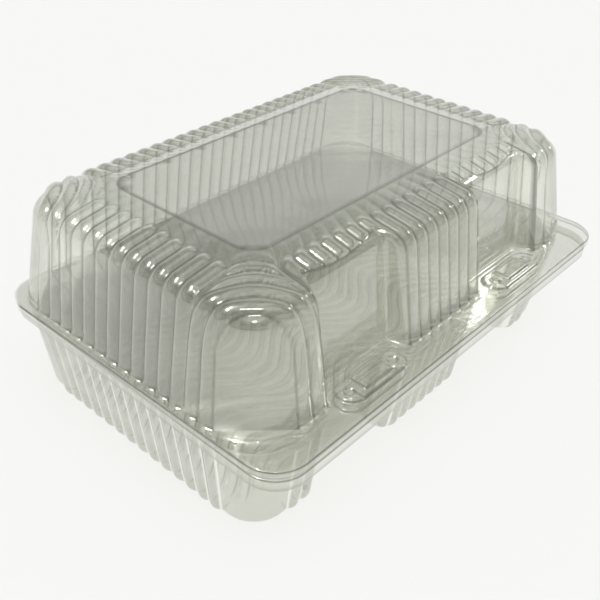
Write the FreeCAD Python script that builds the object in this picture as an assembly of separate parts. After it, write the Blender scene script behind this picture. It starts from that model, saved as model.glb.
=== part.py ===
import FreeCAD, Part
import math
import os
from FreeCAD import Placement, Rotation, Vector

# Hinged clamshell pack of clear formed sheet: a ribbed base tray and a ribbed lid, joined along
# the back edge. Millimetres, +Z up. The origin is on the surface that the pack stands on, under
# the middle of the flange; X runs along the hinge and -Y is the front with the two locks.

# Driving dimensions
DIMENSIONS = {
    "flange_length": 240.0,
    "flange_width": 169.0,
    "flange_corner": 16.0,
    "film": 0.45,
    "flange_gap": 0.3,
    "lip_gap": 0.5,
    "lid_lip": 3.0,
    "base_lip": 4.9,
    "side_ledge": 4.0,
    "front_ledge": 14.0,
    "back_ledge": 2.5,
    "lid_draft": 9.0,
    "base_draft": 7.3,
    "wall_corner": 20.0,
    "corner_zone": 38.0,
    "corner_smooth": 17.5,
    "rib_pitch": 7.3,
    "rib_depth": 1.5,
    "tower_half": 28.0,
    "notch_depth": 8.5,
    "notch_turn": 5.0,
    "lid_height": 51.3,
    "crest_radius": 8.0,
    "crest_corner": 17.0,
    "shoulder_slope": 8.8,
    "shoulder_reach": 36.0,
    "shoulder_back": 32.0,
    "rib_reach": 25.0,
    "rib_end_corner": 13.0,
    "panel_corner": 10.0,
    "base_depth": 47.0,
    "rib_start": 6.0,
    "bottom_round": 5.0,
    "bottom_corner": 15.0,
    "wave_pitch": 7.0,
    "wave_height": 10.0,
    "wave_length": 71.0,
    "wave_width": 2.4,
    "wave_rise": 0.5,
    "wave_margin": 8.0,
    "lock_edge": 13.0,
    "lock_margin": 6.0,
    "lock_width": 12.5,
    "lock_rise": 1.2,
    "block_length": 17.0,
    "block_width": 8.0,
    "block_rise": 2.6,
    "lid_ajar": 1.57,
}

# Facets of the rounded stretches
RIB_FACETS = 3
NOTCH_RIB_FACETS = 2
ARC_FACETS = 6
FLANGE_ARC_FACETS = 6
LIP_END_FACETS = 2
LOCK_ARC_FACETS = 8
WAVE_FACETS = 5
FLAT_TOLERANCE = 1e-5
COUNT_TOLERANCE = 0.01
ARCH_RIB_COUNT = 2

# Shares of a size: how much the notches keep at the crest, and the width of the bottom edge
NOTCH_AT_WALL_TOP = 0.88
NOTCH_AT_CREST = 0.82
NOTCH_ON_SHOULDER = 0.72
NOTCH_AT_RIB_END = 0.2
CREST_RIBS = 0.8
BOTTOM_SHARE = 0.8
SEW_TOLERANCE = 1e-4

doc = FreeCAD.newDocument("clamshell_pack")
sheet = doc.addObject("Spreadsheet::Sheet", "dims")
for row, (alias, value) in enumerate(DIMENSIONS.items(), start=1):
    sheet.set("A%d" % row, alias)
    sheet.set("B%d" % row, str(value))
    sheet.setAlias("B%d" % row, alias)
doc.recompute()


def size(alias):
    return float(sheet.get(alias))


film = size("film")
half_length = size("flange_length") / 2
half_width = size("flange_width") / 2
lid_draft = math.tan(math.radians(size("lid_draft")))
base_draft = math.tan(math.radians(size("base_draft")))
foot_x = half_length - size("side_ledge")
foot_front = -half_width + size("front_ledge")
foot_back = half_width - size("back_ledge")


# One closed outline of the wall at one height
class Level:
    def __init__(self, z, inset, corner, ribs, notch, notch_ribs, back_inset=None):
        self.z = z
        self.half_x = foot_x - inset
        self.front = foot_front + inset
        self.back = foot_back - (inset if back_inset is None else back_inset)
        self.corner = corner
        self.ribs = ribs
        self.notch = notch
        self.notch_ribs = notch_ribs


def rib_lift(fraction):
    return 1 - (2 * fraction - 1) ** 2


def notch_share(x):
    # 0 on the towers and 1 on the set-back wall between them, with a rounded step at each end
    turn = size("notch_turn")
    inner = (abs(x) - size("tower_half") + turn / 2) / turn
    outer = (foot_x - size("corner_zone") - abs(x)) / turn
    step = min(max(min(inner, outer), 0), 1)
    return (1 - math.cos(math.pi * step)) / 2


def rib_fractions(length, pitch):
    count = max(1, round(length / pitch))
    steps = count * RIB_FACETS
    return [(i / steps, rib_lift((i % RIB_FACETS) / RIB_FACETS)) for i in range(steps)]


def wall_point(level, spot, angle, lift, shrink):
    normal = Vector(math.cos(angle), math.sin(angle), 0)
    return Vector(spot.x, spot.y, level.z) + normal * (lift - shrink)


def front_points(level, shrink):
    # Left to right: set-back wall, middle tower, set-back wall
    zone = foot_x - size("corner_zone")
    squeeze = min(zone, level.half_x - level.corner) / zone
    pitch = size("rib_pitch")
    tower_ribs = 2 * round(size("tower_half") / pitch - 0.5) + 1
    side_ribs = int((zone - tower_ribs * pitch / 2) / pitch + COUNT_TOLERANCE)
    first = -(tower_ribs / 2 + side_ribs) * pitch
    stations = [(-zone, 0.0)]
    for rib in range(tower_ribs + 2 * side_ribs):
        on_tower = side_ribs <= rib < side_ribs + tower_ribs
        facets = RIB_FACETS if on_tower else NOTCH_RIB_FACETS
        for i in range(facets):
            stations.append((first + (rib + i / facets) * pitch, rib_lift(i / facets)))
    stations.append((-first, 0.0))
    points = []
    for x, lift in stations:
        share = notch_share(x)
        spot = Vector(x * squeeze, level.front + level.notch * share, 0)
        height = level.ribs * (1 - share) + level.notch_ribs * share
        points.append(wall_point(level, spot, -math.pi / 2, lift * height, shrink))
    return points


def corner_points(level, index, leads, shrink):
    # A smooth rounded corner with a pair of ribs on each side of it
    start = -math.pi / 2 + index * math.pi / 2
    side_x = 1 if index in (0, 1) else -1
    centre = Vector(side_x * (level.half_x - level.corner),
                    level.front + level.corner if index in (0, 3) else level.back - level.corner, 0)
    arc = level.corner * math.pi / 4
    smooth = size("corner_smooth") / (size("wall_corner") * (math.pi / 4 - 1) + size("corner_zone"))

    def spot(distance):
        # Distance along the wall, counted from the middle of the corner
        turn = max(-arc, min(arc, distance)) / level.corner
        angle = start + math.pi / 4 + turn
        rest = distance - turn * level.corner
        tangent = Vector(-math.sin(angle), math.cos(angle), 0)
        normal = Vector(math.cos(angle), math.sin(angle), 0)
        return centre + normal * level.corner + tangent * rest, angle

    points = []
    before = arc + leads[0]
    after = arc + leads[1]
    steps = ARCH_RIB_COUNT * RIB_FACETS
    for i in range(steps):
        share = 1 - (1 - smooth) * i / steps
        place, angle = spot(-before * share)
        lift = rib_lift((i % RIB_FACETS) / RIB_FACETS) * level.ribs
        points.append(wall_point(level, place, angle, lift, shrink))
    for i in range(ARC_FACETS):
        share = i / ARC_FACETS
        place, angle = spot(-before * smooth * (1 - share) + after * smooth * share)
        points.append(wall_point(level, place, angle, 0, shrink))
    for i in range(steps):
        share = smooth + (1 - smooth) * i / steps
        place, angle = spot(after * share)
        lift = rib_lift((i % RIB_FACETS) / RIB_FACETS) * level.ribs
        points.append(wall_point(level, place, angle, lift, shrink))
    return points


def straight_points(level, start, end, angle, shrink):
    points = []
    along_y = abs(math.cos(angle)) > abs(math.sin(angle))
    foot_run = foot_back - foot_front if along_y else 2 * foot_x
    for share, lift in rib_fractions(foot_run - 2 * size("corner_zone"), size("rib_pitch")):
        spot = start + (end - start) * share
        points.append(wall_point(level, spot, angle, lift * level.ribs, shrink))
    return points


def outline(level, shrink=0.0):
    # Counter-clockwise from the front left, each level with the same points
    zone_x = min(foot_x - size("corner_zone"), level.half_x - level.corner)
    zone_front = max(foot_front + size("corner_zone"), level.front + level.corner)
    zone_back = min(foot_back - size("corner_zone"), level.back - level.corner)
    lead_x = level.half_x - level.corner - zone_x
    lead_front = zone_front - level.front - level.corner
    lead_back = level.back - level.corner - zone_back
    points = front_points(level, shrink)
    points += corner_points(level, 0, (lead_x, lead_front), shrink)
    points += straight_points(level, Vector(level.half_x, zone_front, 0),
                              Vector(level.half_x, zone_back, 0), 0, shrink)
    points += corner_points(level, 1, (lead_back, lead_x), shrink)
    points += straight_points(level, Vector(zone_x, level.back, 0),
                              Vector(-zone_x, level.back, 0), math.pi / 2, shrink)
    points += corner_points(level, 2, (lead_x, lead_back), shrink)
    points += straight_points(level, Vector(-level.half_x, zone_back, 0),
                              Vector(-level.half_x, zone_front, 0), math.pi, shrink)
    points += corner_points(level, 3, (lead_front, lead_x), shrink)
    return points


# Faces and solids of the formed sheet
def closed_wire(points):
    return Part.makePolygon(points + points[:1])


def plate_with_holes(outer, holes):
    return Part.makeFace([closed_wire(outer)] + holes, "Part::FaceMakerBullseye")


def strip_faces(low, high):
    # One face for each flat stretch between two outlines, two where it is twisted
    faces = []
    for i in range(len(low)):
        a, b, c, d = low[i - 1], low[i], high[i], high[i - 1]
        normal = (b - a).cross(c - a)
        twist = abs(normal.dot(d - a)) / max(normal.Length, FLAT_TOLERANCE)
        if twist < FLAT_TOLERANCE:
            faces.append(Part.Face(closed_wire([a, b, c, d])))
        elif (c - a).Length < (d - b).Length:
            faces += [Part.Face(closed_wire([a, b, c])), Part.Face(closed_wire([a, c, d]))]
        else:
            faces += [Part.Face(closed_wire([a, b, d])), Part.Face(closed_wire([b, c, d]))]
    return faces


def band_faces(rings):
    faces = []
    for low, high in zip(rings, rings[1:]):
        faces += strip_faces(low, high)
    return faces


def flange_ring(reach, z):
    # Rounded rectangle of the flange, pulled in by reach everywhere but at the hinge
    full = size("flange_corner")
    points = []
    corners = [(1, -1, -90), (1, 1, 0), (-1, 1, 90), (-1, -1, 180)]
    for side_x, side_y, start in corners:
        deep = full - reach if side_y < 0 else full
        centre = Vector(side_x * (half_length - full), side_y * (half_width - full), z)
        for i in range(FLANGE_ARC_FACETS + 1):
            angle = math.radians(start + 90 * i / FLANGE_ARC_FACETS)
            points.append(centre + Vector(math.cos(angle) * (full - reach),
                                          math.sin(angle) * deep, 0))
    return points


def hinge_clipped(points):
    hinge_line = half_width - size("flange_gap") / 2
    return [Vector(p.x, min(p.y, hinge_line), p.z) for p in points]


def lip_faces(outer, inner, flange_z, lip_depth):
    # The turned-down lip runs round the front and the sides and stops before the hinge
    under = flange_z - film
    bottom = flange_z - lip_depth
    arc = FLANGE_ARC_FACETS + 1
    count = len(outer)
    last = arc + LIP_END_FACETS
    first = 3 * arc - 1 - LIP_END_FACETS
    lip = [i % count for i in range(first, last + count + 1)]
    bare = list(range(last, first + 1))

    def at(points, i, z):
        return Vector(points[i].x, points[i].y, z)

    faces = []
    for a, b in zip(lip, lip[1:]):
        faces.append(closed_wire([at(outer, a, flange_z), at(outer, b, flange_z),
                                  at(outer, b, under), at(outer, b, bottom),
                                  at(outer, a, bottom), at(outer, a, under)]
                                 if a == first or b == last else
                                 [at(outer, a, flange_z), at(outer, b, flange_z),
                                  at(outer, b, bottom), at(outer, a, bottom)]))
        faces.append(closed_wire([at(inner, a, under), at(inner, b, under),
                                  at(inner, b, bottom), at(inner, a, bottom)]))
        faces.append(closed_wire([at(outer, a, bottom), at(outer, b, bottom),
                                  at(inner, b, bottom), at(inner, a, bottom)]))
    for a, b in zip(bare, bare[1:]):
        faces.append(closed_wire([at(outer, a, flange_z), at(outer, b, flange_z),
                                  at(outer, b, under), at(outer, a, under)]))
    for i in (first, last):
        faces.append(closed_wire([at(outer, i, under), at(inner, i, under),
                                  at(inner, i, bottom), at(outer, i, bottom)]))
    under_edge = [at(inner, i, under) for i in lip] + [at(outer, i, under) for i in bare]
    return [Part.Face(wire) for wire in faces], under_edge


# Lock buttons: an oblong platform with a raised block, pressed up in the front of the flange
def notch_span():
    # Both ends of a notch, between the middle tower and the corner
    return size("tower_half"), foot_x - size("corner_zone")


def lock_centre(side):
    near, far = notch_span()
    return Vector(side * (near + far) / 2, -half_width + size("lock_edge"), 0)


def lock_ring(side, z, shrink):
    radius = size("lock_width") / 2 - shrink
    near, far = notch_span()
    straight = (far - near - size("lock_width")) / 2 - size("lock_margin")
    middle = lock_centre(side)
    points = []
    for end, start in ((1, -90), (-1, 90)):
        centre = Vector(middle.x + end * straight, middle.y, z)
        for i in range(LOCK_ARC_FACETS + 1):
            angle = math.radians(start + 180 * i / LOCK_ARC_FACETS)
            points.append(centre + Vector(math.cos(angle), math.sin(angle), 0) * radius)
    return points


def block_ring(side, z, shrink):
    x, y, _ = lock_centre(side)
    reach_x = size("block_length") / 2 - shrink
    reach_y = size("block_width") / 2 - shrink
    return [Vector(x - reach_x, y - reach_y, z), Vector(x + reach_x, y - reach_y, z),
            Vector(x + reach_x, y + reach_y, z), Vector(x - reach_x, y + reach_y, z)]


def lock_faces(side, z, shrink):
    foot = lock_ring(side, z, shrink)
    rim = lock_ring(side, z + size("lock_rise"), shrink)
    block_foot = block_ring(side, z + size("lock_rise"), shrink)
    block_top = block_ring(side, z + size("block_rise"), shrink)
    faces = strip_faces(foot, rim)
    faces.append(plate_with_holes(rim, [closed_wire(block_foot)]))
    faces += strip_faces(block_foot, block_top)
    faces.append(Part.Face(closed_wire(block_top)))
    return faces


def flange_faces(edge, wall_foot, z, shrink):
    # One side of the flange with the opening of the walls and both lock buttons
    holes = [closed_wire(wall_foot)]
    faces = []
    for side in (-1, 1):
        holes.append(closed_wire(lock_ring(side, z, shrink)))
        faces += lock_faces(side, z, shrink)
    return faces + [plate_with_holes(edge, holes)]


def film_solid(top_rings, under_rings, flange_z, reach, lip_depth, caps):
    # Two skins, joined round the edge of the flange
    outer = hinge_clipped(flange_ring(reach, flange_z))
    inner = hinge_clipped(flange_ring(reach + film, flange_z))
    faces, under_edge = lip_faces(outer, inner, flange_z, lip_depth)
    faces += flange_faces(outer, top_rings[0], flange_z, reach)
    faces += flange_faces(under_edge, under_rings[0], flange_z - film, reach + film)
    faces += band_faces(top_rings) + band_faces(under_rings) + caps
    shell = Part.Shell(faces)
    shell.sewShape(SEW_TOLERANCE)
    solid = Part.Solid(shell)
    if solid.Volume < 0:
        solid.reverse()
    return solid


# Lid walls: drafted wall, rounded crest, sloping shoulder where the ribs die out, flat top panel
def lid_profile():
    wall = Vector(lid_draft, 1, 0).normalize()
    slope = math.radians(size("shoulder_slope"))
    shoulder = Vector(math.cos(slope), math.sin(slope), 0)
    crest_z = size("lid_height") - size("shoulder_reach") * math.tan(slope)
    crest_z /= 1 - lid_draft * math.tan(slope)
    crest = Vector(crest_z * lid_draft, crest_z, 0)
    turn = wall.getAngle(shoulder)
    tangent = size("crest_radius") * math.tan(turn / 2)
    start = crest - wall * tangent
    end = crest + shoulder * tangent
    middle = (start + end) / 2
    toward = (crest - middle).normalize()
    centre_gap = size("crest_radius") / math.cos(turn / 2)
    middle = crest - toward * (centre_gap - size("crest_radius"))
    return start, middle, end, slope


def lid_levels():
    start, middle, end, slope = lid_profile()
    ribs = size("rib_depth")
    notch = size("notch_depth")
    reach = size("shoulder_reach")
    rib_z = size("lid_height") - (reach - size("rib_reach")) * math.tan(slope)
    shrink = size("shoulder_back") / reach

    def corner(inset):
        share = min(inset / end.x, 1)
        return size("wall_corner") + (size("crest_corner") - size("wall_corner")) * share

    return [
        Level(0, 0, corner(0), ribs, notch, 0),
        Level(start.y, start.x, corner(start.x), ribs, notch * NOTCH_AT_WALL_TOP, 0),
        Level(middle.y, middle.x, corner(middle.x), ribs, notch * NOTCH_AT_CREST,
              ribs * CREST_RIBS),
        Level(end.y, end.x, corner(end.x), ribs, notch * NOTCH_ON_SHOULDER, ribs),
        Level(rib_z, size("rib_reach"), size("rib_end_corner"), 0, notch * NOTCH_AT_RIB_END, 0,
              size("rib_reach") * shrink),
        Level(size("lid_height"), reach, size("panel_corner"), 0, 0, 0, size("shoulder_back")),
    ]


# Base walls: smooth start under the flange, ribbed drafted wall, rounded bottom edge
def base_levels():
    ribs = size("rib_depth")
    notch = size("notch_depth")
    depth = size("base_depth")
    turn = size("bottom_round")
    low = depth - turn

    def corner(z):
        share = z / depth
        return size("wall_corner") + (size("bottom_corner") - size("wall_corner")) * share

    return [
        Level(depth, 0, corner(0), 0, notch, 0),
        Level(depth - size("rib_start"), size("rib_start") * base_draft,
              corner(size("rib_start")), ribs, notch, 0),
        Level(turn, low * base_draft, corner(low), ribs, notch, 0),
        Level(0, low * base_draft + turn * BOTTOM_SHARE, corner(depth), ribs, notch, 0),
    ]


# Shallow waves in the floor, each a low ridge with a rounded plan
def wave_line(row):
    margin = size("wave_margin")
    half = base_levels()[-1].half_x - margin - size("bottom_corner") / 2
    points = []
    for i in range(WAVE_FACETS * 2 + 1):
        x = -half + i * half / WAVE_FACETS
        phase = 2 * math.pi * x / size("wave_length")
        points.append(Vector(x, row * size("wave_pitch") + size("wave_height") * math.cos(phase), 0))
    return points


def floor_faces(ring, z):
    bottom = base_levels()[-1]
    low = bottom.front + bottom.notch + size("wave_margin") + size("wave_height")
    high = bottom.back - size("wave_margin") - size("wave_height")
    side_step = Vector(0, size("wave_width") / 2, 0)
    up_step = Vector(0, 0, size("wave_rise"))
    holes = []
    roofs = []
    rows = range(math.ceil(low / size("wave_pitch")), math.floor(high / size("wave_pitch")) + 1)
    for row in rows:
        line = [Vector(p.x, p.y, z) for p in wave_line(row)]
        near = [p - side_step for p in line[1:-1]]
        far = [p + side_step for p in line[1:-1]]
        crest = [p + up_step for p in line[1:-1]]
        holes.append(closed_wire([line[0]] + near + [line[-1]] + far[::-1]))
        for edge in (near, far):
            roofs.append(Part.Face(closed_wire([line[0], edge[0], crest[0]])))
            roofs.append(Part.Face(closed_wire([edge[-1], line[-1], crest[-1]])))
            for i in range(1, len(edge)):
                roofs.append(Part.Face(closed_wire([edge[i - 1], edge[i], crest[i]])))
                roofs.append(Part.Face(closed_wire([edge[i - 1], crest[i], crest[i - 1]])))
    return [plate_with_holes(ring, holes)] + roofs


def make_lid():
    levels = lid_levels()
    top = [outline(level) for level in levels]
    under = [[p - Vector(0, 0, film) for p in outline(level, film)] for level in levels]
    caps = [Part.Face(closed_wire(top[-1])), Part.Face(closed_wire(under[-1]))]
    return film_solid(top, under, 0, 0, size("lid_lip"), caps)


def make_base():
    levels = base_levels()
    top = [outline(level, film) for level in levels[:-1]]
    top.append([p + Vector(0, 0, film) for p in outline(levels[-1], film)])
    under = [outline(level) for level in levels]
    under[0] = [p - Vector(0, 0, film) for p in under[0]]
    caps = floor_faces(top[-1], film) + [Part.Face(closed_wire(under[-1]))]
    return film_solid(top, under, size("base_depth"), film + size("lip_gap"), size("base_lip"), caps)


def add_part(name, shape):
    feature = doc.addObject("Part::Feature", name)
    feature.Shape = shape
    feature.Label = name
    return feature


base_tray = add_part("base_tray", make_base())
lid = add_part("lid", make_lid())

# The lid stands slightly open on its back edge, unlocked
hinge_z = size("base_depth") + size("flange_gap") / 2
lid_rise = size("base_depth") + size("flange_gap") + film
pivot = Vector(0, half_width, hinge_z)
closed = Placement(Vector(0, 0, lid_rise), Rotation())
swing = Placement(Vector(), Rotation(Vector(1, 0, 0), -size("lid_ajar")), pivot)
lid.Placement = swing.multiply(closed)
doc.recompute()

parts = [base_tray, lid]
for item in doc.Objects:
    if "Invalid" in item.State or "Error" in item.State:
        raise RuntimeError("%s did not compute: %s" % (item.Label, item.State))
for item in parts:
    if item.Shape.isNull() or not item.Shape.isValid():
        raise RuntimeError("%s has no valid shape" % item.Label)
    if len(item.Shape.Solids) != 1:
        raise RuntimeError("%s is %d solids, not one" % (item.Label, len(item.Shape.Solids)))

os.makedirs("parts", exist_ok=True)
for item in parts:
    item.Shape.exportStep("parts/%s.step" % item.Label)
    box = item.Shape.BoundBox
    print("%s: %.1f x %.1f x %.1f mm, %.2f cm3, %d faces"
          % (item.Label, box.XLength, box.YLength, box.ZLength, item.Shape.Volume / 1000,
             len(item.Shape.Faces)))
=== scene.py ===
import math

import bpy
import numpy as np
from mathutils import Matrix, Vector, geometry

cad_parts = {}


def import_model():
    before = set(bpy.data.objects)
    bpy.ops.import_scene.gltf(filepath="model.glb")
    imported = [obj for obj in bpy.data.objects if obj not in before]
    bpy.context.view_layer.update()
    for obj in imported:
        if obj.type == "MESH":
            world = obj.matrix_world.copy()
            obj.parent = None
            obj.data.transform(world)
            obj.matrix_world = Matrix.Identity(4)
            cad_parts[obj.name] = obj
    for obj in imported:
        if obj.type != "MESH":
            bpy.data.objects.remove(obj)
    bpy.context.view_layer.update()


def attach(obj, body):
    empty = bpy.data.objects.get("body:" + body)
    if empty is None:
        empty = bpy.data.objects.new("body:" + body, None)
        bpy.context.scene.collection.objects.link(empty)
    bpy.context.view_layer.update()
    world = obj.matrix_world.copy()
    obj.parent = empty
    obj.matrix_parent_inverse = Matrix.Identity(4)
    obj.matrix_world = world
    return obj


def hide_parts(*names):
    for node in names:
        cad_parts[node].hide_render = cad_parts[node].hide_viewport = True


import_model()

# Millimetres throughout; a mesh is scaled to metres when it is made.
MM = 0.001
FILM = 0.45
HINGE_GAP = 0.3
AJAR = math.radians(1.57)

# Plan of the walls at the flange
FOOT_X = 116.0
FOOT_FRONT = -70.5
FOOT_BACK = 82.0
WALL_CORNER = 20.0
ZONE = 38.0
PLAIN = 17.5
PITCH = 7.3
RIB = 1.45
TOWER_HALF = 28.0
TOWER_RIBS = 7
NOTCH = 8.5
NOTCH_TURN = 5.0
CORNERS = [(1, -1, -90), (1, 1, 0), (-1, 1, 90), (-1, -1, 180)]

# Flange, its lips and its locks
HALF_X = 120.0
HALF_Y = 84.5
FLANGE_CORNER = 16.0
BEND = 0.9
LID_LIP = 3.0
BASE_LIP = 4.9
LIP_GAP = 0.5
LIP_END = 14.0
LOCK_X = 53.0
LOCK_Y = -HALF_Y + 13.0
LOCK_STRAIGHT = 12.75
LOCK_RADIUS = 6.25
LOCK_RISE = 1.15
BLOCK_X = 8.5
BLOCK_Y = 4.0
BLOCK_RISE = 1.35
DIMPLE_X = 13.6
DIMPLE_RADIUS = 2.1
DIMPLE_DEPTH = 0.75

# Lid
LID_DRAFT = math.tan(math.radians(9.0))
LID_HEIGHT = 51.3
CREST_RADIUS = 8.0
SHOULDER_SLOPE = math.radians(8.8)
SHOULDER_REACH = 36.0
SHOULDER_BACK = 32.0
RIB_REACH = 25.0
ROOF_X = 79.5
ROOF_FRONT = -35.0
ROOF_BACK = 50.0
ROOF_SAG = 0.35

# Distances up the lid's wall and over its crest: the end of the ribs, the top of the plain
# set-back wall, and the arches over the corners with the height and the rib line of each
RIB_END = 13.0
NOTCH_TOP = 53.0
NOTCH_SAG = 5.0
NOTCH_REACH = 24.5
ARCH_FOOT = 29.0
ARCH_PITCH = 8.1
ARCH_POWER = 2.2
ARCH_RISE = [0, 19.0, 25.5, 31.5, 36.4, 40.6, 46.0]
ARCH_LINE = [0, 17.5, 25.6, 33.7, 41.8, 49.9, 58.0]

# Base and the waves in its floor
BASE_DRAFT = math.tan(math.radians(7.3))
BASE_DEPTH = 47.0
BASE_RIB_START = 8.5
BOTTOM_ROUND = 5.0
BOTTOM_RUN = 4.4
FLOOR_Z = 0.2
WAVE_PITCH = 7.0
WAVE_HEIGHT = 10.0
WAVE_LENGTH = 71.0
WAVE_RIDGE = 1.0
WAVES_X = 103.0
WAVES_FRONT = -50.0
WAVES_BACK = 72.0
LID_Z = BASE_DEPTH + HINGE_GAP + FILM
PIVOT_Z = BASE_DEPTH + HINGE_GAP / 2

# Fineness of the meshes
SEGMENTS_PER_RIB = 9
PLAIN_STEPS = 34
LEAD_STEPS = 4
SHEET_STEP = 1.9
LOCK_STEP = 0.55
OFF_CORNER = 99.0


def smooth(a, b, x):
    """0 below a and 1 above b, with a soft step between them."""
    t = np.clip((np.asarray(x, float) - a) / (b - a), 0, 1)
    return t * t * (3 - 2 * t)


# The walls have the same plan points at every level. Each point is a station:
# (segment, share along it, phase across its rib, distance from the middle of its corner).
def stations():
    out = []
    phases = [i / SEGMENTS_PER_RIB for i in range(SEGMENTS_PER_RIB)]
    zone = FOOT_X - ZONE
    half_tower = TOWER_RIBS / 2
    side = int((zone - half_tower * PITCH) / PITCH + 0.01)
    first = -(half_tower + side) * PITCH
    lead = (first + zone) / LEAD_STEPS
    half = WALL_CORNER * math.pi / 4 + (ZONE - WALL_CORNER)
    rib_wide = (half - PLAIN) / 2

    def corner_ribs(name, start):
        for rib in range(2):
            for t in phases:
                s = start + (rib + t) * rib_wide
                out.append((name, s / half, t, s))

    for i in range(LEAD_STEPS):
        out.append(("front", -zone + i * lead, 0.0, OFF_CORNER))
    for rib in range(TOWER_RIBS + 2 * side):
        for t in phases:
            out.append(("front", first + (rib + t) * PITCH, t, OFF_CORNER))
    for i in range(LEAD_STEPS):
        out.append(("front", -first + i * lead, 0.0, OFF_CORNER))
    for corner in range(4):
        name = f"corner{corner}"
        corner_ribs(name, -half)
        for i in range(PLAIN_STEPS):
            s = -PLAIN + 2 * PLAIN * i / PLAIN_STEPS
            out.append((name, s / half, 0.0, s))
        corner_ribs(name, PLAIN)
        if corner < 3:
            run = FOOT_BACK - FOOT_FRONT - 2 * ZONE if corner != 1 else 2 * (FOOT_X - ZONE)
            count = round(run / PITCH)
            for rib in range(count):
                for t in phases:
                    out.append((f"side{corner}", (rib + t) / count, t, OFF_CORNER))
    return out


STATIONS = stations()


def notch_share(x):
    """0 on the towers and 1 on the set-back wall between them."""
    inner = (abs(x) - TOWER_HALF + NOTCH_TURN / 2) / NOTCH_TURN
    outer = (FOOT_X - ZONE - abs(x)) / NOTCH_TURN
    step = min(max(min(inner, outer), 0), 1)
    return (1 - math.cos(math.pi * step)) / 2


def outline(inset, corner, notch, back_inset):
    """Plan points of one level without its ribs, in the order of STATIONS."""
    hx = FOOT_X - inset
    front = FOOT_FRONT + inset
    back = FOOT_BACK - back_inset
    zx = min(FOOT_X - ZONE, hx - corner)
    zf = max(FOOT_FRONT + ZONE, front + corner)
    zb = min(FOOT_BACK - ZONE, back - corner)
    lead_x = hx - corner - zx
    leads = [(lead_x, zf - front - corner), (back - corner - zb, lead_x),
             (lead_x, back - corner - zb), (zf - front - corner, lead_x)]
    squeeze = zx / (FOOT_X - ZONE)
    points = []
    for kind, a, _, _ in STATIONS:
        if kind == "front":
            points.append((a * squeeze, front + notch * notch_share(a)))
        elif kind.startswith("corner"):
            i = int(kind[-1])
            sx, sy, start = CORNERS[i]
            cx = sx * (hx - corner)
            cy = front + corner if sy < 0 else back - corner
            arc = corner * math.pi / 4
            total = arc + (leads[i][0] if a < 0 else leads[i][1])
            d = a * total
            turn = max(-arc, min(arc, d)) / corner
            ang = math.radians(start) + math.pi / 4 + turn
            rest = d - turn * corner
            points.append((cx + corner * math.cos(ang) - math.sin(ang) * rest,
                           cy + corner * math.sin(ang) + math.cos(ang) * rest))
        else:
            i = int(kind[-1])
            if i == 0:
                points.append((hx, zf + (zb - zf) * a))
            elif i == 1:
                points.append((zx - 2 * zx * a, back))
            else:
                points.append((-hx, zb + (zf - zb) * a))
    return points


def skin(levels):
    """Points by level and station, from levels of (z, inset, corner, notch, back inset)."""
    return np.array([[(x, y, z) for x, y in outline(inset, corner, notch, back)]
                     for z, inset, corner, notch, back in levels])


def raised(grid, lift):
    """The grid with each point moved outwards by its share of a rib's depth."""
    du = np.roll(grid, -1, 1) - np.roll(grid, 1, 1)
    dv = np.gradient(grid, axis=0)
    n = np.cross(du, dv)
    n /= np.maximum(np.linalg.norm(n, axis=2, keepdims=True), 1e-9)
    if n[5, 10, 1] > 0:
        n = -n
    return grid + n * (lift * RIB)[:, :, None]


def lid_profile():
    """Wall, rounded crest and shoulder of the lid, as (distance inwards, height)."""
    t = math.tan(SHOULDER_SLOPE)
    z = (LID_HEIGHT - SHOULDER_REACH * t) / (1 - LID_DRAFT * t)
    crest = np.array([z * LID_DRAFT, z])
    wall = np.array([LID_DRAFT, 1.0])
    wall /= np.linalg.norm(wall)
    shoulder = np.array([math.cos(SHOULDER_SLOPE), math.sin(SHOULDER_SLOPE)])
    turn = math.acos(float(wall @ shoulder))
    tangent = CREST_RADIUS * math.tan(turn / 2)
    start = crest - wall * tangent
    end = crest + shoulder * tangent
    inward = np.array([wall[1], -wall[0]])
    centre = start + inward * CREST_RADIUS
    return start, end, centre, turn


def lid_levels():
    start, end, centre, turn = lid_profile()
    wall_steps, crest_steps, shoulder_steps = 15, 14, 24
    pts = [start * (i / wall_steps) for i in range(wall_steps)]
    rel = start - centre
    for i in range(crest_steps):
        a = turn * i / crest_steps
        c, s = math.cos(-a), math.sin(-a)
        pts.append(centre + np.array([rel[0] * c - rel[1] * s, rel[0] * s + rel[1] * c]))
    last = np.array([SHOULDER_REACH, LID_HEIGHT])
    for i in range(shoulder_steps + 1):
        pts.append(end + (last - end) * i / shoulder_steps)
    run = [0.0]
    for a, b in zip(pts, pts[1:]):
        run.append(run[-1] + float(np.linalg.norm(b - a)))
    knots = [0, start[0], centre[0] - CREST_RADIUS * 0.6, end[0], RIB_REACH, SHOULDER_REACH]
    notches = [NOTCH, NOTCH * 0.88, NOTCH * 0.82, NOTCH * 0.72, NOTCH * 0.2, 0.0]
    corners = [WALL_CORNER, 18.6, 18.0, 17.0, 13.0, 10.0]
    ratio = (SHOULDER_BACK - end[0]) / (SHOULDER_REACH - end[0])
    levels = []
    for d, z in pts:
        corner = float(np.interp(d, knots, corners))
        notch = float(np.interp(d, knots, notches))
        back = d if d < end[0] else end[0] + (d - end[0]) * ratio
        levels.append((float(z), float(d), corner, notch, float(back)))
    return levels, np.array(run)


def lobe(t):
    """Height of a rounded rib at the phase t across it."""
    return 1 - (2 * t - 1) ** 2


def capped(t, over, reach):
    """A lobe's height, with a rounded end where over grows past zero."""
    across = (2 * t - 1) ** 2
    body = 1 - across
    end = np.clip(1 - across - (np.maximum(over, 0) / reach) ** 2, 0, None)
    return np.where(over <= 0, body, np.minimum(body, end))


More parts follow.
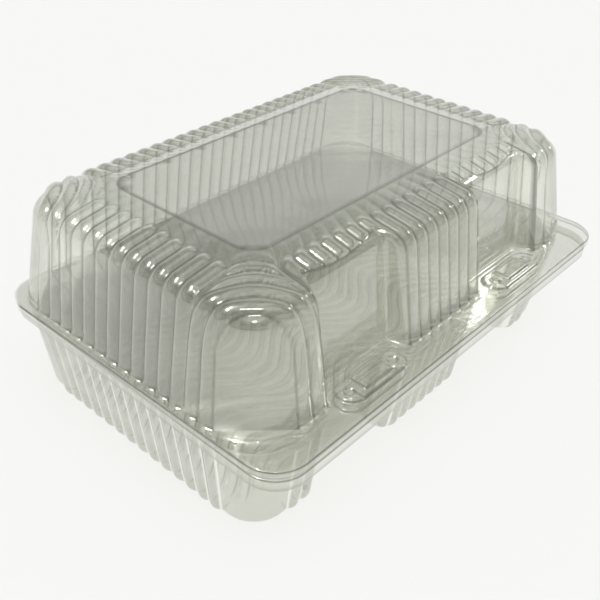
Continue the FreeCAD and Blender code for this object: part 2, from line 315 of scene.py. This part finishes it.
def station_arrays():
    """Rib phase, corner distance, x, on the front, on a corner, share of the notch."""
    t = np.array([q[2] for q in STATIONS])
    s = np.array([q[3] for q in STATIONS])
    x = np.array([q[1] if q[0] == "front" else 0.0 for q in STATIONS])
    is_front = np.array([q[0] == "front" for q in STATIONS])
    is_corner = np.array([q[0].startswith("corner") for q in STATIONS])
    share = np.array([notch_share(q[1]) if q[0] == "front" else 0.0 for q in STATIONS])
    return t, s, x, is_front, is_corner, share


def arch_lift(s, v, top, faint):
    """Nested arches over a corner: smooth inside, then lobes that run up and over."""
    d = arch_distance(s, v)
    phase = (d - PLAIN) / ARCH_PITCH
    t = phase - np.floor(phase)
    h = np.where(d < PLAIN, 0, lobe(t)) * arch_fade(s, d)
    fade = 1 - smooth(top - 14, top, v)
    return h * (fade + (1 - fade) * faint)


def valley(t, wide, half=0.55):
    """1 in the valley between two ribs, fading out over half a millimetre."""
    gap = np.minimum(t, 1 - t) * wide
    return np.clip(1 - gap / half, 0, 1)


def rib_painted_shade_lines(t, on, v, stop, reach=4.0):
    """Painted shade lines in the valleys of straight ribs, and round the rounded outline of each
    rib's end.
    """
    line = valley(t, PITCH) * np.clip((stop - v) / 2.0 + 1, 0, 1)
    across = (2 * t - 1) ** 2
    over = np.maximum(v - stop, 0) / reach
    ring = np.abs(np.sqrt(across + over ** 2) - 1) * PITCH / 2
    end = np.clip(1 - ring / 0.7, 0, 1) * (v > stop)
    return np.maximum(line, end) * on


def lid_painted_shade_lines(run):
    """Painted shade lines of the lid: valleys, rib ends, arches and the rim of the roof."""
    t, s, x, is_front, is_corner, share = station_arrays()
    v = run[:, None]
    v_end = run[-1]
    stop = v_end - RIB_END
    ribbed = np.array([q[0].startswith("side") for q in STATIONS]) | (is_front & (share < 0.3))
    line = rib_painted_shade_lines(t[None, :], ribbed[None, :] * 1.0, v, stop)
    arch_top = notch_arch(x)
    ring = np.clip(1 - np.abs(v - arch_top[None, :]) / 0.8, 0, 1) * (share > 0.3)[None, :]
    notch_line = valley(t[None, :], PITCH) * (v > arch_top[None, :]) * (v < stop) * (share > 0.3)
    line = np.maximum(line, np.maximum(ring, notch_line))
    d = arch_distance(s[None, :], v)
    phase = (d - PLAIN) / ARCH_PITCH
    gap = np.abs(phase - np.round(phase)) * ARCH_PITCH
    arch = np.clip(1 - gap / 0.65, 0, 1) * (d > 15) * (v < v_end - 3.0) * arch_fade(s[None, :], d)
    line = np.where(is_corner[None, :], arch, line)
    rim = np.clip(1 - np.abs(v - v_end) / 0.9, 0, 1)
    return np.maximum(line * 0.8, rim)


def base_painted_shade_and_highlight(run):
    """Painted highlight lines in the valleys, below zero, between ribs with painted shade that
    makes them a little darker.
    """
    t, s, _, is_front, is_corner, share = station_arrays()
    v = run[:, None]
    ribbed = ~is_front | (share < 0.3)
    ribbed = ribbed & ~(is_corner & (np.abs(s) < 17.0))
    below = np.clip((v - BASE_RIB_START) / 2.0 + 1, 0, 1)
    line = valley(t[None, :], PITCH, 0.75) * below
    # Painted shade darkens each rib's crest a little; painted highlight lines fill the valleys
    crest = 0.24 * lobe(t)[None, :] * below
    return (crest - line * 1.3) * ribbed[None, :]


def notch_arch(x):
    share = (np.abs(x) - LOCK_X) / NOTCH_REACH
    return NOTCH_TOP - NOTCH_SAG * np.cos(share * math.pi / 2)


def arch_distance(s, v):
    over = np.interp(np.maximum(v - ARCH_FOOT, 0), ARCH_RISE, ARCH_LINE)
    return (np.abs(s) ** ARCH_POWER + over ** ARCH_POWER) ** (1 / ARCH_POWER)


def arch_fade(s, d):
    return 1 - smooth(25, 33, np.abs(s)) * (d > ARCH_LINE[3])


def lid_lift(run):
    t, s, x, is_front, is_corner, share = station_arrays()
    v = run[:, None]
    v_end = run[-1]
    lift = capped(t[None, :], v - (v_end - RIB_END), 4.0)
    faint = 0.12 * lobe(t)[None, :] * smooth(0, 1, (v_end + 0.01 - v) / 3.0)
    lift = np.maximum(lift, faint)
    notch_on = smooth(0, 1, (v - notch_arch(x)[None, :]) / 2.5)
    lift = np.where(is_front[None, :], lift * ((1 - share) + share * notch_on), lift)
    arch = arch_lift(s[None, :], v, v_end - 1.0, 0.15)
    return np.where(is_corner[None, :], arch, lift)


def base_levels():
    pts = []
    wall_steps, round_steps = 22, 8
    for i in range(wall_steps):
        z = BASE_DEPTH + (BOTTOM_ROUND - BASE_DEPTH) * i / wall_steps
        pts.append(((BASE_DEPTH - z) * BASE_DRAFT, z))
    d0 = (BASE_DEPTH - BOTTOM_ROUND) * BASE_DRAFT
    for i in range(round_steps + 1):
        a = math.pi / 2 * i / round_steps
        pts.append((d0 + BOTTOM_RUN * (1 - math.cos(a)),
                    BOTTOM_ROUND - (BOTTOM_ROUND - FLOOR_Z) * math.sin(a)))
    run = [0.0]
    for a, b in zip(pts, pts[1:]):
        run.append(run[-1] + math.dist(a, b))
    levels = []
    for d, z in pts:
        corner = WALL_CORNER - 5.0 * (BASE_DEPTH - z) / BASE_DEPTH
        levels.append((z, d, corner, NOTCH, d))
    return levels, np.array(run)


def base_lift(run):
    t, s, _, is_front, is_corner, share = station_arrays()
    v = run[:, None]
    lift = capped(t[None, :], BASE_RIB_START - v, 3.5)
    lift = lift * (1 - 0.75 * smooth(run[-1] - 5, run[-1], v))
    lift = np.where(is_front[None, :], lift * (1 - share), lift)
    plain = is_corner & (np.abs(s) < PLAIN)
    return np.where(plain[None, :], 0, lift)


def fill(loops, inner, warp=None):
    """Triangles between boundary loops (outer first, then holes) with extra points inside,
    and for each of their points the number of the point that was given, or None."""
    pts = [p for loop in loops for p in loop] + list(inner)
    edges = []
    k = 0
    for loop in loops:
        n = len(loop)
        edges += [(k + i, k + (i + 1) % n) for i in range(n)]
        k += n
    flat = [warp(p) if warp else p for p in pts]
    verts, _, faces, orig, _, _ = geometry.delaunay_2d_cdt(
        [Vector(q) for q in flat], edges, [], 2 if len(loops) > 1 else 1, 1e-7)
    return faces, [orig[i][0] if orig[i] else None for i in range(len(verts))]


def inside(loop, x, y):
    """Which points lie inside a closed loop."""
    px, py = loop[:, 0], loop[:, 1]
    qx, qy = np.roll(px, -1), np.roll(py, -1)
    hit = np.zeros(len(x), int)
    for a, b, c, d in zip(px, py, qx, qy):
        if b == d:
            continue
        cross = ((b > y) != (d > y)) & (x < (c - a) * (y - b) / (d - b) + a)
        hit ^= cross.astype(int)
    return hit.astype(bool)


def clear_of(loop, x, y, gap):
    """Which points lie further than gap from every point of a loop."""
    keep = np.ones(len(x), bool)
    chunk = 4000
    for k in range(0, len(x), chunk):
        dx = x[k:k + chunk, None] - loop[None, :, 0]
        dy = y[k:k + chunk, None] - loop[None, :, 1]
        keep[k:k + chunk] = (dx * dx + dy * dy).min(1) > gap * gap
    return keep


def points_in(loop, x, y, gap):
    x, y = x.ravel(), y.ravel()
    keep = inside(loop, x, y) & clear_of(loop, x, y, gap)
    return list(zip(x[keep].tolist(), y[keep].tolist()))


class Film:
    """Points, faces, painted shade and highlight line strengths and painted shade shares of one
    formed half.
    """

    def __init__(self):
        self.verts = []
        self.faces = []
        self.painted_line = []
        self.painted_shade_share = []

    def add(self, pts, painted_line=None):
        k = len(self.verts)
        self.verts += [tuple(p) for p in pts]
        self.painted_line += [0.0] * len(pts) if painted_line is None else [float(c) for c in painted_line]
        return list(range(k, k + len(pts)))

    def strip(self, low, high):
        n = len(low)
        for i in range(n):
            j = (i + 1) % n
            self.faces.append((low[i], low[j], high[j], high[i]))

    def grid(self, rows, painted_line):
        ids = [self.add(r, c) for r, c in zip(rows, painted_line)]
        for low, high in zip(ids, ids[1:]):
            self.strip(low, high)
        return ids

    def sheet(self, loops, loop_ids, inner, height, warp=None, painted_line=None):
        faces, back = fill(loops, inner, warp)
        ids = [i for one in loop_ids for i in one]
        ids += self.add([(x, y, height(x, y)) for x, y in inner],
                        [painted_line(x, y) for x, y in inner] if painted_line else None)
        for f in faces:
            tri = [back[i] for i in f]
            if None in tri:
                continue
            tri = [ids[i] for i in tri]
            if len(set(tri)) > 2:
                self.faces.append(tuple(tri))


def flange_edge(reach):
    """Rounded outline of the flange, pulled in by reach everywhere but at the hinge."""
    r = FLANGE_CORNER
    arc_steps, step = 12, 4.0
    hinge_line = HALF_Y - HINGE_GAP / 2
    pts = []
    for sx, sy, start in CORNERS:
        cx, cy = sx * (HALF_X - r), sy * (HALF_Y - r)
        deep = r - reach if sy < 0 else r
        for i in range(arc_steps + 1):
            a = math.radians(start + 90 * i / arc_steps)
            pts.append((cx + math.cos(a) * (r - reach), min(cy + math.sin(a) * deep, hinge_line)))
    out = []
    for p, q in zip(pts, pts[1:] + pts[:1]):
        n = max(1, round(math.dist(p, q) / step))
        out += [(p[0] + (q[0] - p[0]) * i / n, p[1] + (q[1] - p[1]) * i / n) for i in range(n)]
    return out


def lock_place(x, y):
    """Distance outside a lock's rim, place from its middle, distance from its dimple."""
    ax = abs(abs(x) - LOCK_X)
    ay = y - LOCK_Y
    rim = math.hypot(max(ax - LOCK_STRAIGHT, 0), ay) - LOCK_RADIUS
    return rim, ax, ay, math.hypot(ax - DIMPLE_X, ay)


def thin_line(gap):
    return max(0.0, 1 - abs(gap) / 0.6)


def lock_height(x, y):
    """Height of the lock buttons above the flange, in mm."""
    rim, ax, ay, dimple = lock_place(x, y)
    h = LOCK_RISE * (1 - float(smooth(-0.45, 0.45, rim)))
    block = 1 - float(smooth(-0.4, 0.5, ax - BLOCK_X))
    h += BLOCK_RISE * block * (1 - float(smooth(-0.4, 0.5, abs(ay) - BLOCK_Y)))
    return h - DIMPLE_DEPTH * (1 - float(smooth(1.6, 2.6, dimple)))


def lock_painted_shade_lines(x, y):
    """Painted shade lines round the platform, the block and the dimples of a lock."""
    rim, ax, ay, dimple = lock_place(x, y)
    block = max(ax - BLOCK_X, abs(ay) - BLOCK_Y)
    line = max(thin_line(rim), thin_line(block))
    return max(line, 0.8 * thin_line(dimple - DIMPLE_RADIUS))


def flange_points(outer, foot):
    """Points inside the flange, close together on the locks."""
    outer = np.array(outer)
    foot = np.array(foot)
    x, y = np.meshgrid(np.arange(-119, 119, SHEET_STEP), np.arange(-84, 84, SHEET_STEP))
    x, y = x.ravel(), y.ravel()
    far = (np.hypot(np.maximum(np.abs(np.abs(x) - LOCK_X) - 13, 0), y - LOCK_Y) > 8.2)
    x, y = x[far], y[far]
    fx, fy = np.meshgrid(np.arange(-21, 21.01, LOCK_STEP), np.arange(-8, 8.01, LOCK_STEP))
    fx, fy = fx.ravel(), fy.ravel()
    close = np.hypot(np.maximum(np.abs(fx) - 13, 0), fy) <= 8.0
    fx, fy = fx[close], fy[close]
    x = np.concatenate([x, fx - LOCK_X, fx + LOCK_X])
    y = np.concatenate([y, fy + LOCK_Y, fy + LOCK_Y])
    keep = inside(outer, x, y) & ~inside(foot, x, y)
    x, y = x[keep], y[keep]
    keep = clear_of(outer, x, y, 0.5) & clear_of(foot, x, y, 0.45)
    return list(zip(x[keep].tolist(), y[keep].tolist()))


def lip(film, edge_ids, edge, z, depth):
    """The turned-down rim of the flange, bent with a small radius; it ends before the hinge."""
    pts = np.array(edge)
    fwd = np.roll(pts, -1, 0) - np.roll(pts, 1, 0)
    n = np.stack([fwd[:, 1], -fwd[:, 0]], 1)
    n /= np.maximum(np.linalg.norm(n, axis=1, keepdims=True), 1e-9)
    hinge = smooth(-2.5, 4.0, pts[:, 1] - (HALF_Y - LIP_END))
    rows = []
    for k in range(1, 5):
        a = math.pi / 2 * k / 4
        rows.append((BEND * math.sin(a), BEND * (1 - math.cos(a))))
    rows.append((BEND, BEND + (depth - BEND) * 0.5))
    rows.append((BEND, depth))
    last = edge_ids
    # Painted shade lines along the bend and the foot of the lip
    dark = [0.3, 1.0, 0.6, 0.1, 0.0, 0.7]
    full = 1 - hinge
    for (out, down), line in zip(rows, dark):
        new = [(p[0] + q[0] * out * f, p[1] + q[1] * out * f, z - down * f)
               for p, q, f in zip(pts, n, full)]
        ids = film.add(new, line * full)
        film.strip(ids, last)
        last = ids


def add_flange(film, foot_row, foot_ids, z, reach, lip_depth):
    """The flange round the foot of the walls, with both locks and the lip."""
    outer = flange_edge(reach)
    foot = [(p[0], p[1]) for p in foot_row]
    outer_ids = film.add([(x, y, z) for x, y in outer])
    film.sheet([outer, foot], [outer_ids, foot_ids], flange_points(outer, foot),
               lambda x, y: z + lock_height(x, y), painted_line=lock_painted_shade_lines)
    lip(film, outer_ids, outer, z, lip_depth)


def make_object(name, film, mat):
    mesh = bpy.data.meshes.new(name)
    mesh.from_pydata([Vector(v) * MM for v in film.verts], [], film.faces)
    for poly in mesh.polygons:
        poly.use_smooth = True
    mesh.materials.append(mat)
    # Painted shade and highlight lines, and the share of painted shade on the roof and tray walls
    painted_line = mesh.attributes.new("painted_line", "FLOAT", "POINT")
    painted_line.data.foreach_set("value", np.array(film.painted_line, np.float32))
    painted_shade_share = mesh.attributes.new("painted_shade_share", "FLOAT", "POINT")
    painted_shade_share.data.foreach_set("value", np.array(film.painted_shade_share, np.float32))
    mesh.update()
    obj = bpy.data.objects.new(name, mesh)
    bpy.context.scene.collection.objects.link(obj)
    return obj


def build_lid():
    levels, run = lid_levels()
    grid = raised(skin(levels), lid_lift(run))
    film = Film()
    ids = film.grid(grid, lid_painted_shade_lines(run))
    ring = [(p[0], p[1]) for p in grid[-1]]
    x, y = np.meshgrid(np.arange(-78, 78.1, 4.0), np.arange(-36, 52, 4.0))

    def panel(px, py):
        # The roof sags a little in its middle
        edge = min(ROOF_X - abs(px), py - ROOF_FRONT, ROOF_BACK - py)
        return LID_HEIGHT - ROOF_SAG * float(smooth(0, 26, edge))

    film.sheet([ring], [ids[-1]], points_in(np.array(ring), x, y, 2.0), panel)
    add_flange(film, grid[0], ids[0], 0.0, BEND, LID_LIP)
    # Painted shade share: the roof of the lid is tinted darker
    film.painted_shade_share = [float(smooth(36, 50, p[2])) for p in film.verts]
    # Rest place: the closed place, then a small turn about the hinge
    c, s = math.cos(AJAR), math.sin(AJAR)
    placed = []
    for px, py, pz in film.verts:
        yy = py - HALF_Y
        zz = pz + LID_Z - PIVOT_Z
        placed.append((px, HALF_Y + yy * c + zz * s, PIVOT_Z - yy * s + zz * c))
    film.verts = placed
    return film


def build_base():
    levels, run = base_levels()
    grid = raised(skin(levels), base_lift(run))
    grid[:, :, 2] = np.maximum(grid[:, :, 2], 0.1)
    film = Film()
    ids = film.grid(grid, base_painted_shade_and_highlight(run))
    ring = [(p[0], p[1]) for p in grid[-1]]

    def wave(px):
        return WAVE_HEIGHT * math.cos(2 * math.pi * px / WAVE_LENGTH)

    def from_wave(px, py):
        return (((py - wave(px)) / WAVE_PITCH + 0.5) % 1 - 0.5) * WAVE_PITCH

    # The points of the floor follow the waves, so that each ridge is sharp
    x, y = np.meshgrid(np.arange(-112, 112.1, 2.0), np.arange(-80, 92, 0.7))
    y = y + WAVE_HEIGHT * np.cos(2 * math.pi * x / WAVE_LENGTH)

    def wave_fade(px, py):
        gap = min(WAVES_X - abs(px), WAVES_BACK - py, py - WAVES_FRONT)
        return float(smooth(0.0, 5.0, gap))

    def floor(px, py):
        ridge = math.exp(-from_wave(px, py) ** 2)
        return FLOOR_Z + WAVE_RIDGE * ridge * wave_fade(px, py)

    # Painted shade lines on one side of each wave ridge, painted highlight lines on the other
    def wave_painted_shade_and_highlight(px, py):
        at = from_wave(px, py)
        dark = max(0.0, min(1.0, 1.5 - abs(at - 1.0) / 0.6))
        light = max(0.0, min(1.0, 1.6 - abs(at + 1.0) / 0.9))
        return (dark - 0.7 * light * (dark == 0)) * wave_fade(px, py)

    film.sheet([ring], [ids[-1]], points_in(np.array(ring), x, y, 0.9), floor,
               warp=lambda q: (q[0] * 0.35, q[1] - wave(q[0])), painted_line=wave_painted_shade_and_highlight)
    add_flange(film, grid[0], ids[0], BASE_DEPTH, FILM + LIP_GAP + BEND, BASE_LIP)
    # Painted shade share: the walls of the tray are tinted darker
    film.painted_shade_share = [float(smooth(1.5, 5.0, p[2]) * (1 - smooth(44.0, 46.5, p[2])))
                  for p in film.verts]
    return film


def math_node(nt, op, a, b, c=None, clamp=False):
    n = nt.nodes.new("ShaderNodeMath")
    n.operation = op
    n.use_clamp = clamp
    for i, v in enumerate((a, b, c)):
        if v is None:
            continue
        if isinstance(v, (int, float)):
            n.inputs[i].default_value = v
        else:
            nt.links.new(v, n.inputs[i])
    return n.outputs[0]


# Colours of both films: painted shade on the roof and the tray walls, painted shade lines, gloss,
# and what lamps shine through
ROOF_AND_WALL_SHADE_TINT = (0.80, 0.81, 0.775, 1)
PAINTED_LINE_SHADE_TINT = (0.12, 0.125, 0.09, 1)
GLOSS_TINT = (0.95, 0.95, 0.93, 1)
LAMP_TINT = (0.975, 0.975, 0.965, 1)


def clear_film(name, thin, edge_on, veil, haze_share):
    """Clear film: a tint for what passes through, a soft sheen and a sharp gloss."""
    mat = bpy.data.materials.new(name)
    mat.use_nodes = True
    nt = mat.node_tree
    nt.nodes.clear()
    out = nt.nodes.new("ShaderNodeOutputMaterial")
    painted_line = nt.nodes.new("ShaderNodeAttribute")
    painted_line.attribute_name = "painted_line"
    # The painted_line attribute: above zero a painted shade line, below zero a painted highlight
    # line
    painted_shade_line = math_node(nt, "MAXIMUM", painted_line.outputs["Fac"], 0.0)
    flipped = math_node(nt, "MULTIPLY", painted_line.outputs["Fac"], -1.0)
    painted_highlight_line = math_node(nt, "MAXIMUM", flipped, 0.0)
    # Uneven thickness of the drawn film
    place = nt.nodes.new("ShaderNodeTexCoord")
    noise = nt.nodes.new("ShaderNodeTexNoise")
    noise.inputs["Scale"].default_value = 190.0
    noise.inputs["Detail"].default_value = 3.0
    nt.links.new(place.outputs["Object"], noise.inputs["Vector"])
    bump = nt.nodes.new("ShaderNodeBump")
    bump.inputs["Strength"].default_value = 0.17
    bump.inputs["Distance"].default_value = 0.0006
    nt.links.new(noise.outputs["Fac"], bump.inputs["Height"])
    facing = nt.nodes.new("ShaderNodeLayerWeight")
    facing.inputs["Blend"].default_value = 0.5
    nt.links.new(bump.outputs[0], facing.inputs["Normal"])
    power = math_node(nt, "POWER", facing.outputs["Facing"], 3.0)
    # What passes straight through: darker where the film is seen edge on, and darkened along the
    # painted shade lines
    tint = nt.nodes.new("ShaderNodeValToRGB")
    tint.color_ramp.elements[0].color = (*thin, 1)
    tint.color_ramp.elements[1].color = (*edge_on, 1)
    nt.links.new(power, tint.inputs["Fac"])
    # Painted shade: the roof and the walls of the tray are tinted darker
    painted_shade_share = nt.nodes.new("ShaderNodeAttribute")
    painted_shade_share.attribute_name = "painted_shade_share"
    roof = nt.nodes.new("ShaderNodeMix")
    roof.data_type = "RGBA"
    roof.blend_type = "MULTIPLY"
    roof.inputs["B"].default_value = ROOF_AND_WALL_SHADE_TINT
    nt.links.new(painted_shade_share.outputs["Fac"], roof.inputs["Factor"])
    nt.links.new(tint.outputs["Color"], roof.inputs["A"])
    # Painted shade: the tint is darkened along the painted shade lines
    dark = nt.nodes.new("ShaderNodeMix")
    dark.data_type = "RGBA"
    dark.inputs["B"].default_value = PAINTED_LINE_SHADE_TINT
    nt.links.new(roof.outputs["Result"], dark.inputs["A"])
    nt.links.new(math_node(nt, "MULTIPLY", painted_shade_line, 0.85), dark.inputs["Factor"])
    clear = nt.nodes.new("ShaderNodeBsdfTransparent")
    nt.links.new(dark.outputs["Result"], clear.inputs["Color"])
    # Faint body of the film: a soft sheen that veils what is behind, raised along the painted
    # highlight lines
    haze = nt.nodes.new("ShaderNodeBsdfPrincipled")
    haze.inputs["Base Color"].default_value = (*veil, 1)
    haze.inputs["Metallic"].default_value = 1.0
    haze.inputs["Roughness"].default_value = 0.26
    body = nt.nodes.new("ShaderNodeMixShader")
    nt.links.new(math_node(nt, "MULTIPLY_ADD", painted_highlight_line, 0.6, haze_share), body.inputs["Fac"])
    nt.links.new(clear.outputs[0], body.inputs[1])
    nt.links.new(haze.outputs[0], body.inputs[2])
    # Gloss of both faces of the film, raised along the painted highlight lines as a painted
    # highlight
    gloss = nt.nodes.new("ShaderNodeBsdfPrincipled")
    gloss.inputs["Base Color"].default_value = GLOSS_TINT
    gloss.inputs["Metallic"].default_value = 1.0
    gloss.inputs["Roughness"].default_value = 0.035
    nt.links.new(bump.outputs[0], gloss.inputs["Normal"])
    mix = nt.nodes.new("ShaderNodeMixShader")
    shine = math_node(nt, "MULTIPLY_ADD", power, 0.8, 0.10)
    shine = math_node(nt, "MULTIPLY_ADD", painted_highlight_line, 0.25, shine, clamp=True)
    nt.links.new(shine, mix.inputs["Fac"])
    nt.links.new(body.outputs[0], mix.inputs[1])
    nt.links.new(gloss.outputs[0], mix.inputs[2])
    # Lamps shine through the film
    path = nt.nodes.new("ShaderNodeLightPath")
    passing = math_node(nt, "MAXIMUM", path.outputs["Is Shadow Ray"],
                        path.outputs["Is Diffuse Ray"])
    let_through = nt.nodes.new("ShaderNodeBsdfTransparent")
    let_through.inputs["Color"].default_value = LAMP_TINT
    last = nt.nodes.new("ShaderNodeMixShader")
    nt.links.new(passing, last.inputs["Fac"])
    nt.links.new(mix.outputs[0], last.inputs[1])
    nt.links.new(let_through.outputs[0], last.inputs[2])
    nt.links.new(last.outputs[0], out.inputs["Surface"])
    return mat


LID_MAT = clear_film("lid_clear_film", (0.955, 0.963, 0.922), (0.44, 0.45, 0.38),
                     (0.84, 0.85, 0.78), 0.15)
TRAY_MAT = clear_film("tray_clear_film", (0.975, 0.98, 0.955), (0.42, 0.43, 0.37),
                      (0.92, 0.93, 0.86), 0.22)
lid_obj = make_object("lid_film", build_lid(), LID_MAT)
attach(lid_obj, "cover")
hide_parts("lid")
base_obj = make_object("tray_film", build_base(), TRAY_MAT)
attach(base_obj, "tray")
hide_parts("base_tray")


def floor_stage():
    mesh = bpy.data.meshes.new("floor")
    r = 6.0
    mesh.from_pydata([(-r, -r, 0), (r, -r, 0), (r, r, 0), (-r, r, 0)], [], [(0, 1, 2, 3)])
    obj = bpy.data.objects.new("floor", mesh)
    bpy.context.scene.collection.objects.link(obj)
    mat = bpy.data.materials.new("pale_floor")
    mat.use_nodes = True
    b = mat.node_tree.nodes["Principled BSDF"]
    b.inputs["Base Color"].default_value = (0.86, 0.86, 0.85, 1)
    b.inputs["Roughness"].default_value = 0.9
    b.inputs["Specular IOR Level"].default_value = 0.1
    mesh.materials.append(mat)
    obj.location.z = -0.0002


floor_stage()


def area(name, loc, size_xy, power):
    """A lamp aimed at the pack, seen only in its gloss."""
    data = bpy.data.lights.new(name, "AREA")
    data.shape = "RECTANGLE"
    data.size, data.size_y = size_xy
    data.energy = power
    obj = bpy.data.objects.new(name, data)
    obj.location = loc
    d = Vector((0, 0, 0.04)) - Vector(loc)
    obj.rotation_euler = d.to_track_quat("-Z", "Y").to_euler()
    obj.visible_diffuse = False
    bpy.context.scene.collection.objects.link(obj)


def ceiling():
    """Soft light from above that isn't seen in the gloss."""
    data = bpy.data.lights.new("ceiling", "SUN")
    data.energy = 1.9
    data.angle = math.radians(60)
    obj = bpy.data.objects.new("ceiling", data)
    obj.rotation_euler = (math.radians(18), math.radians(-12), 0)
    obj.visible_glossy = False
    bpy.context.scene.collection.objects.link(obj)


def world():
    """A plain studio: pale at the horizon, then bands of grey and a pale ceiling."""
    w = bpy.data.worlds.new("studio")
    bpy.context.scene.world = w
    w.use_nodes = True
    nt = w.node_tree
    bg = nt.nodes["Background"]
    place = nt.nodes.new("ShaderNodeTexCoord")
    split = nt.nodes.new("ShaderNodeSeparateXYZ")
    nt.links.new(place.outputs["Generated"], split.inputs[0])
    up = nt.nodes.new("ShaderNodeValToRGB")
    up.color_ramp.interpolation = "EASE"
    stops = [(0.0, 0.93), (0.2, 0.93), (0.31, 0.5), (0.42, 0.8), (0.55, 0.74), (0.68, 0.42),
             (0.8, 0.5), (1.0, 1.1)]
    ramp = up.color_ramp.elements
    while len(ramp) < len(stops):
        ramp.new(0.5)
    for e, (at, v) in zip(ramp, stops):
        e.position = at
        e.color = (v, v, v, 1)
    nt.links.new(split.outputs["Z"], up.inputs["Fac"])
    turn = math_node(nt, "ARCTAN2", split.outputs["Y"], split.outputs["X"])
    wave = math_node(nt, "SINE", math_node(nt, "MULTIPLY", turn, 3.0), 0.0)
    swing = math_node(nt, "MULTIPLY_ADD", wave, 0.25, -0.25)
    high = math_node(nt, "MULTIPLY", math_node(nt, "SUBTRACT", split.outputs["Z"], 0.2), 10.0,
                     clamp=True)
    band = math_node(nt, "MULTIPLY_ADD", high, swing, 1.0)
    mul = math_node(nt, "MULTIPLY", up.outputs["Color"], band)
    bg.inputs["Color"].default_value = (1, 1, 1, 1)
    nt.links.new(mul, bg.inputs["Strength"])


world()
# Two small lamps make the pairs of dots on the rib crests
area("key_a", (-0.55, 0.15, 1.15), (0.075, 0.075), 2.3)
area("key_b", (-0.35, 0.25, 1.25), (0.075, 0.075), 2.3)
area("front", (-0.62, -0.55, 1.5), (0.2, 0.12), 1.6)
area("side", (1.1, -0.35, 0.9), (0.2, 0.2), 1.2)
ceiling()


# The photo's camera, from a fit to the pack: degrees, focal length in pixels of the frame,
# and its place in flange lengths from the middle of the lid's flange
CAMERA_AZIMUTH, CAMERA_ELEVATION, CAMERA_ROLL = -49.6127, 35.3663, 2.8398
CAMERA_FOCAL = 833.47
CAMERA_PLACE = (-0.0417, -0.0737, 1.658)
SENSOR = 36.0
FRAME = 600


def camera():
    a = math.radians(CAMERA_AZIMUTH)
    e = math.radians(CAMERA_ELEVATION)
    r = math.radians(CAMERA_ROLL)
    back = np.array([math.sin(a) * math.cos(e), -math.cos(a) * math.cos(e), math.sin(e)])
    right = np.array([math.cos(a), math.sin(a), 0.0])
    up = np.cross(back, right)
    c, s = math.cos(r), math.sin(r)
    rot = np.array([[c, s, 0], [-s, c, 0], [0, 0, 1]]) @ np.stack([right, up, back])
    loc = rot.T @ np.array(CAMERA_PLACE) * 2 * HALF_X * MM
    loc[2] += LID_Z * MM
    data = bpy.data.cameras.new("photo_camera")
    data.sensor_width = SENSOR
    data.lens = CAMERA_FOCAL / FRAME * SENSOR
    obj = bpy.data.objects.new("photo_camera", data)
    m = Matrix.Identity(4)
    for i in range(3):
        for j in range(3):
            m[j][i] = rot[i][j]
        m[i][3] = loc[i]
    obj.matrix_world = m
    bpy.context.scene.collection.objects.link(obj)
    bpy.context.scene.camera = obj


camera()
scene = bpy.context.scene
scene.view_settings.view_transform = "Standard"
scene.cycles.transparent_max_bounces = 40
scene.cycles.max_bounces = 16
